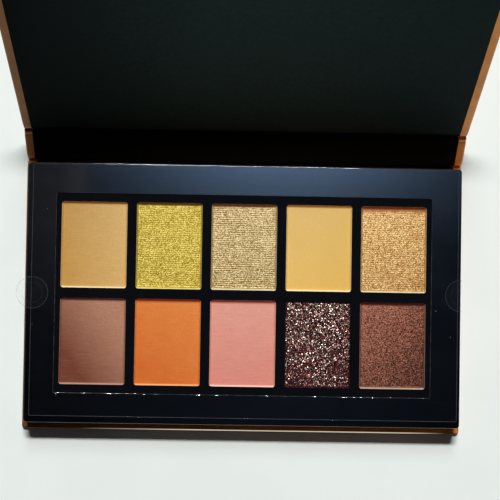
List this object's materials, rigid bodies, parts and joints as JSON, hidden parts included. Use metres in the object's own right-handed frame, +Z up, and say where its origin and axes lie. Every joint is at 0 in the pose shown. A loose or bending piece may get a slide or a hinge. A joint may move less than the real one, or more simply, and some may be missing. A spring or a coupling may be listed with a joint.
{
  "type": "eyeshadow palette",
  "caption": "Book-style cardboard eyeshadow palette, open, with a folding lid and spine and two rows of pressed powder pans under a clear film.",
  "frame": {"origin": "centre of the tray's outline at the underside of the base board", "axes": "+X right, +Y back towards the folds, +Z up out of the table"},
  "size_m": [0.1463, 0.1297, 0.0974],
  "materials": {
    "greyboard": "matte",
    "copper_paper": "satin",
    "black_liner": "matte",
    "black_core": "matte",
    "magnet": "satin",
    "adhesive": "matte",
    "pan_plate": "matte",
    "border_panel": "gloss",
    "pan_metal": "satin",
    "clear_film": "gloss",
    "seal_film": "gloss",
    "powder_1_tan": "matte",
    "powder_2_chartreuse": "satin",
    "powder_3_champagne": "satin",
    "powder_4_honey": "matte",
    "powder_5_bronze": "satin",
    "powder_6_rosewood": "satin",
    "powder_7_orange": "matte",
    "powder_8_coral": "matte",
    "powder_9_burgundy_glitter": "satin",
    "powder_10_cocoa": "satin"
  },
  "bodies": {
    "base": {"base_board": "greyboard", "base_wrap": "copper_paper", "base_liner": "black_liner", "lower_fold": "copper_paper", "tray_floor": "greyboard", "tray_walls": "greyboard", "tray_wrap": "copper_paper", "tray_core": "black_core", "tray_magnet_left": "magnet", "tray_magnet_right": "magnet", "pan_adhesive": "adhesive", "pan_plate": "pan_plate", "border_panel": "border_panel", "pan_1": "pan_metal", "pan_2": "pan_metal", "pan_3": "pan_metal", "pan_4": "pan_metal", "pan_5": "pan_metal", "pan_6": "pan_metal", "pan_7": "pan_metal", "pan_8": "pan_metal", "pan_9": "pan_metal", "pan_10": "pan_metal", "powder_1_tan": "powder_1_tan", "powder_2_chartreuse": "powder_2_chartreuse", "powder_3_champagne": "powder_3_champagne", "powder_4_honey": "powder_4_honey", "powder_5_bronze": "powder_5_bronze", "powder_6_rosewood": "powder_6_rosewood", "powder_7_orange": "powder_7_orange", "powder_8_coral": "powder_8_coral", "powder_9_burgundy_glitter": "powder_9_burgundy_glitter", "powder_10_cocoa": "powder_10_cocoa"},
    "spine": {"spine_board": "greyboard", "spine_wrap": "copper_paper", "spine_liner": "black_liner", "upper_fold": "copper_paper"},
    "lid": {"lid_board": "greyboard", "lid_wrap": "copper_paper", "lid_liner": "black_liner", "lid_magnet_left": "magnet", "lid_magnet_right": "magnet"},
    "film": {"protective_film": "clear_film", "seal_left": "seal_film", "seal_right": "seal_film"}
  },
  "joints": [
    {"name": "spine_fold", "type": "hinge", "parent": "base", "child": "spine", "pos_m": [0, 0.0445, 0.0011], "axis": [1, 0, 0], "range_deg": [-53, 37]},
    {"name": "lid_fold", "type": "hinge", "parent": "spine", "child": "lid", "pos_m": [0, 0.05377, 0.0134], "axis": [1, 0, 0], "range_deg": [-17, 73]},
    {"name": "film_slide", "type": "slide", "parent": "base", "child": "film", "axis": [0, -1, 0], "range_m": [0, 0.082]}
  ]
}
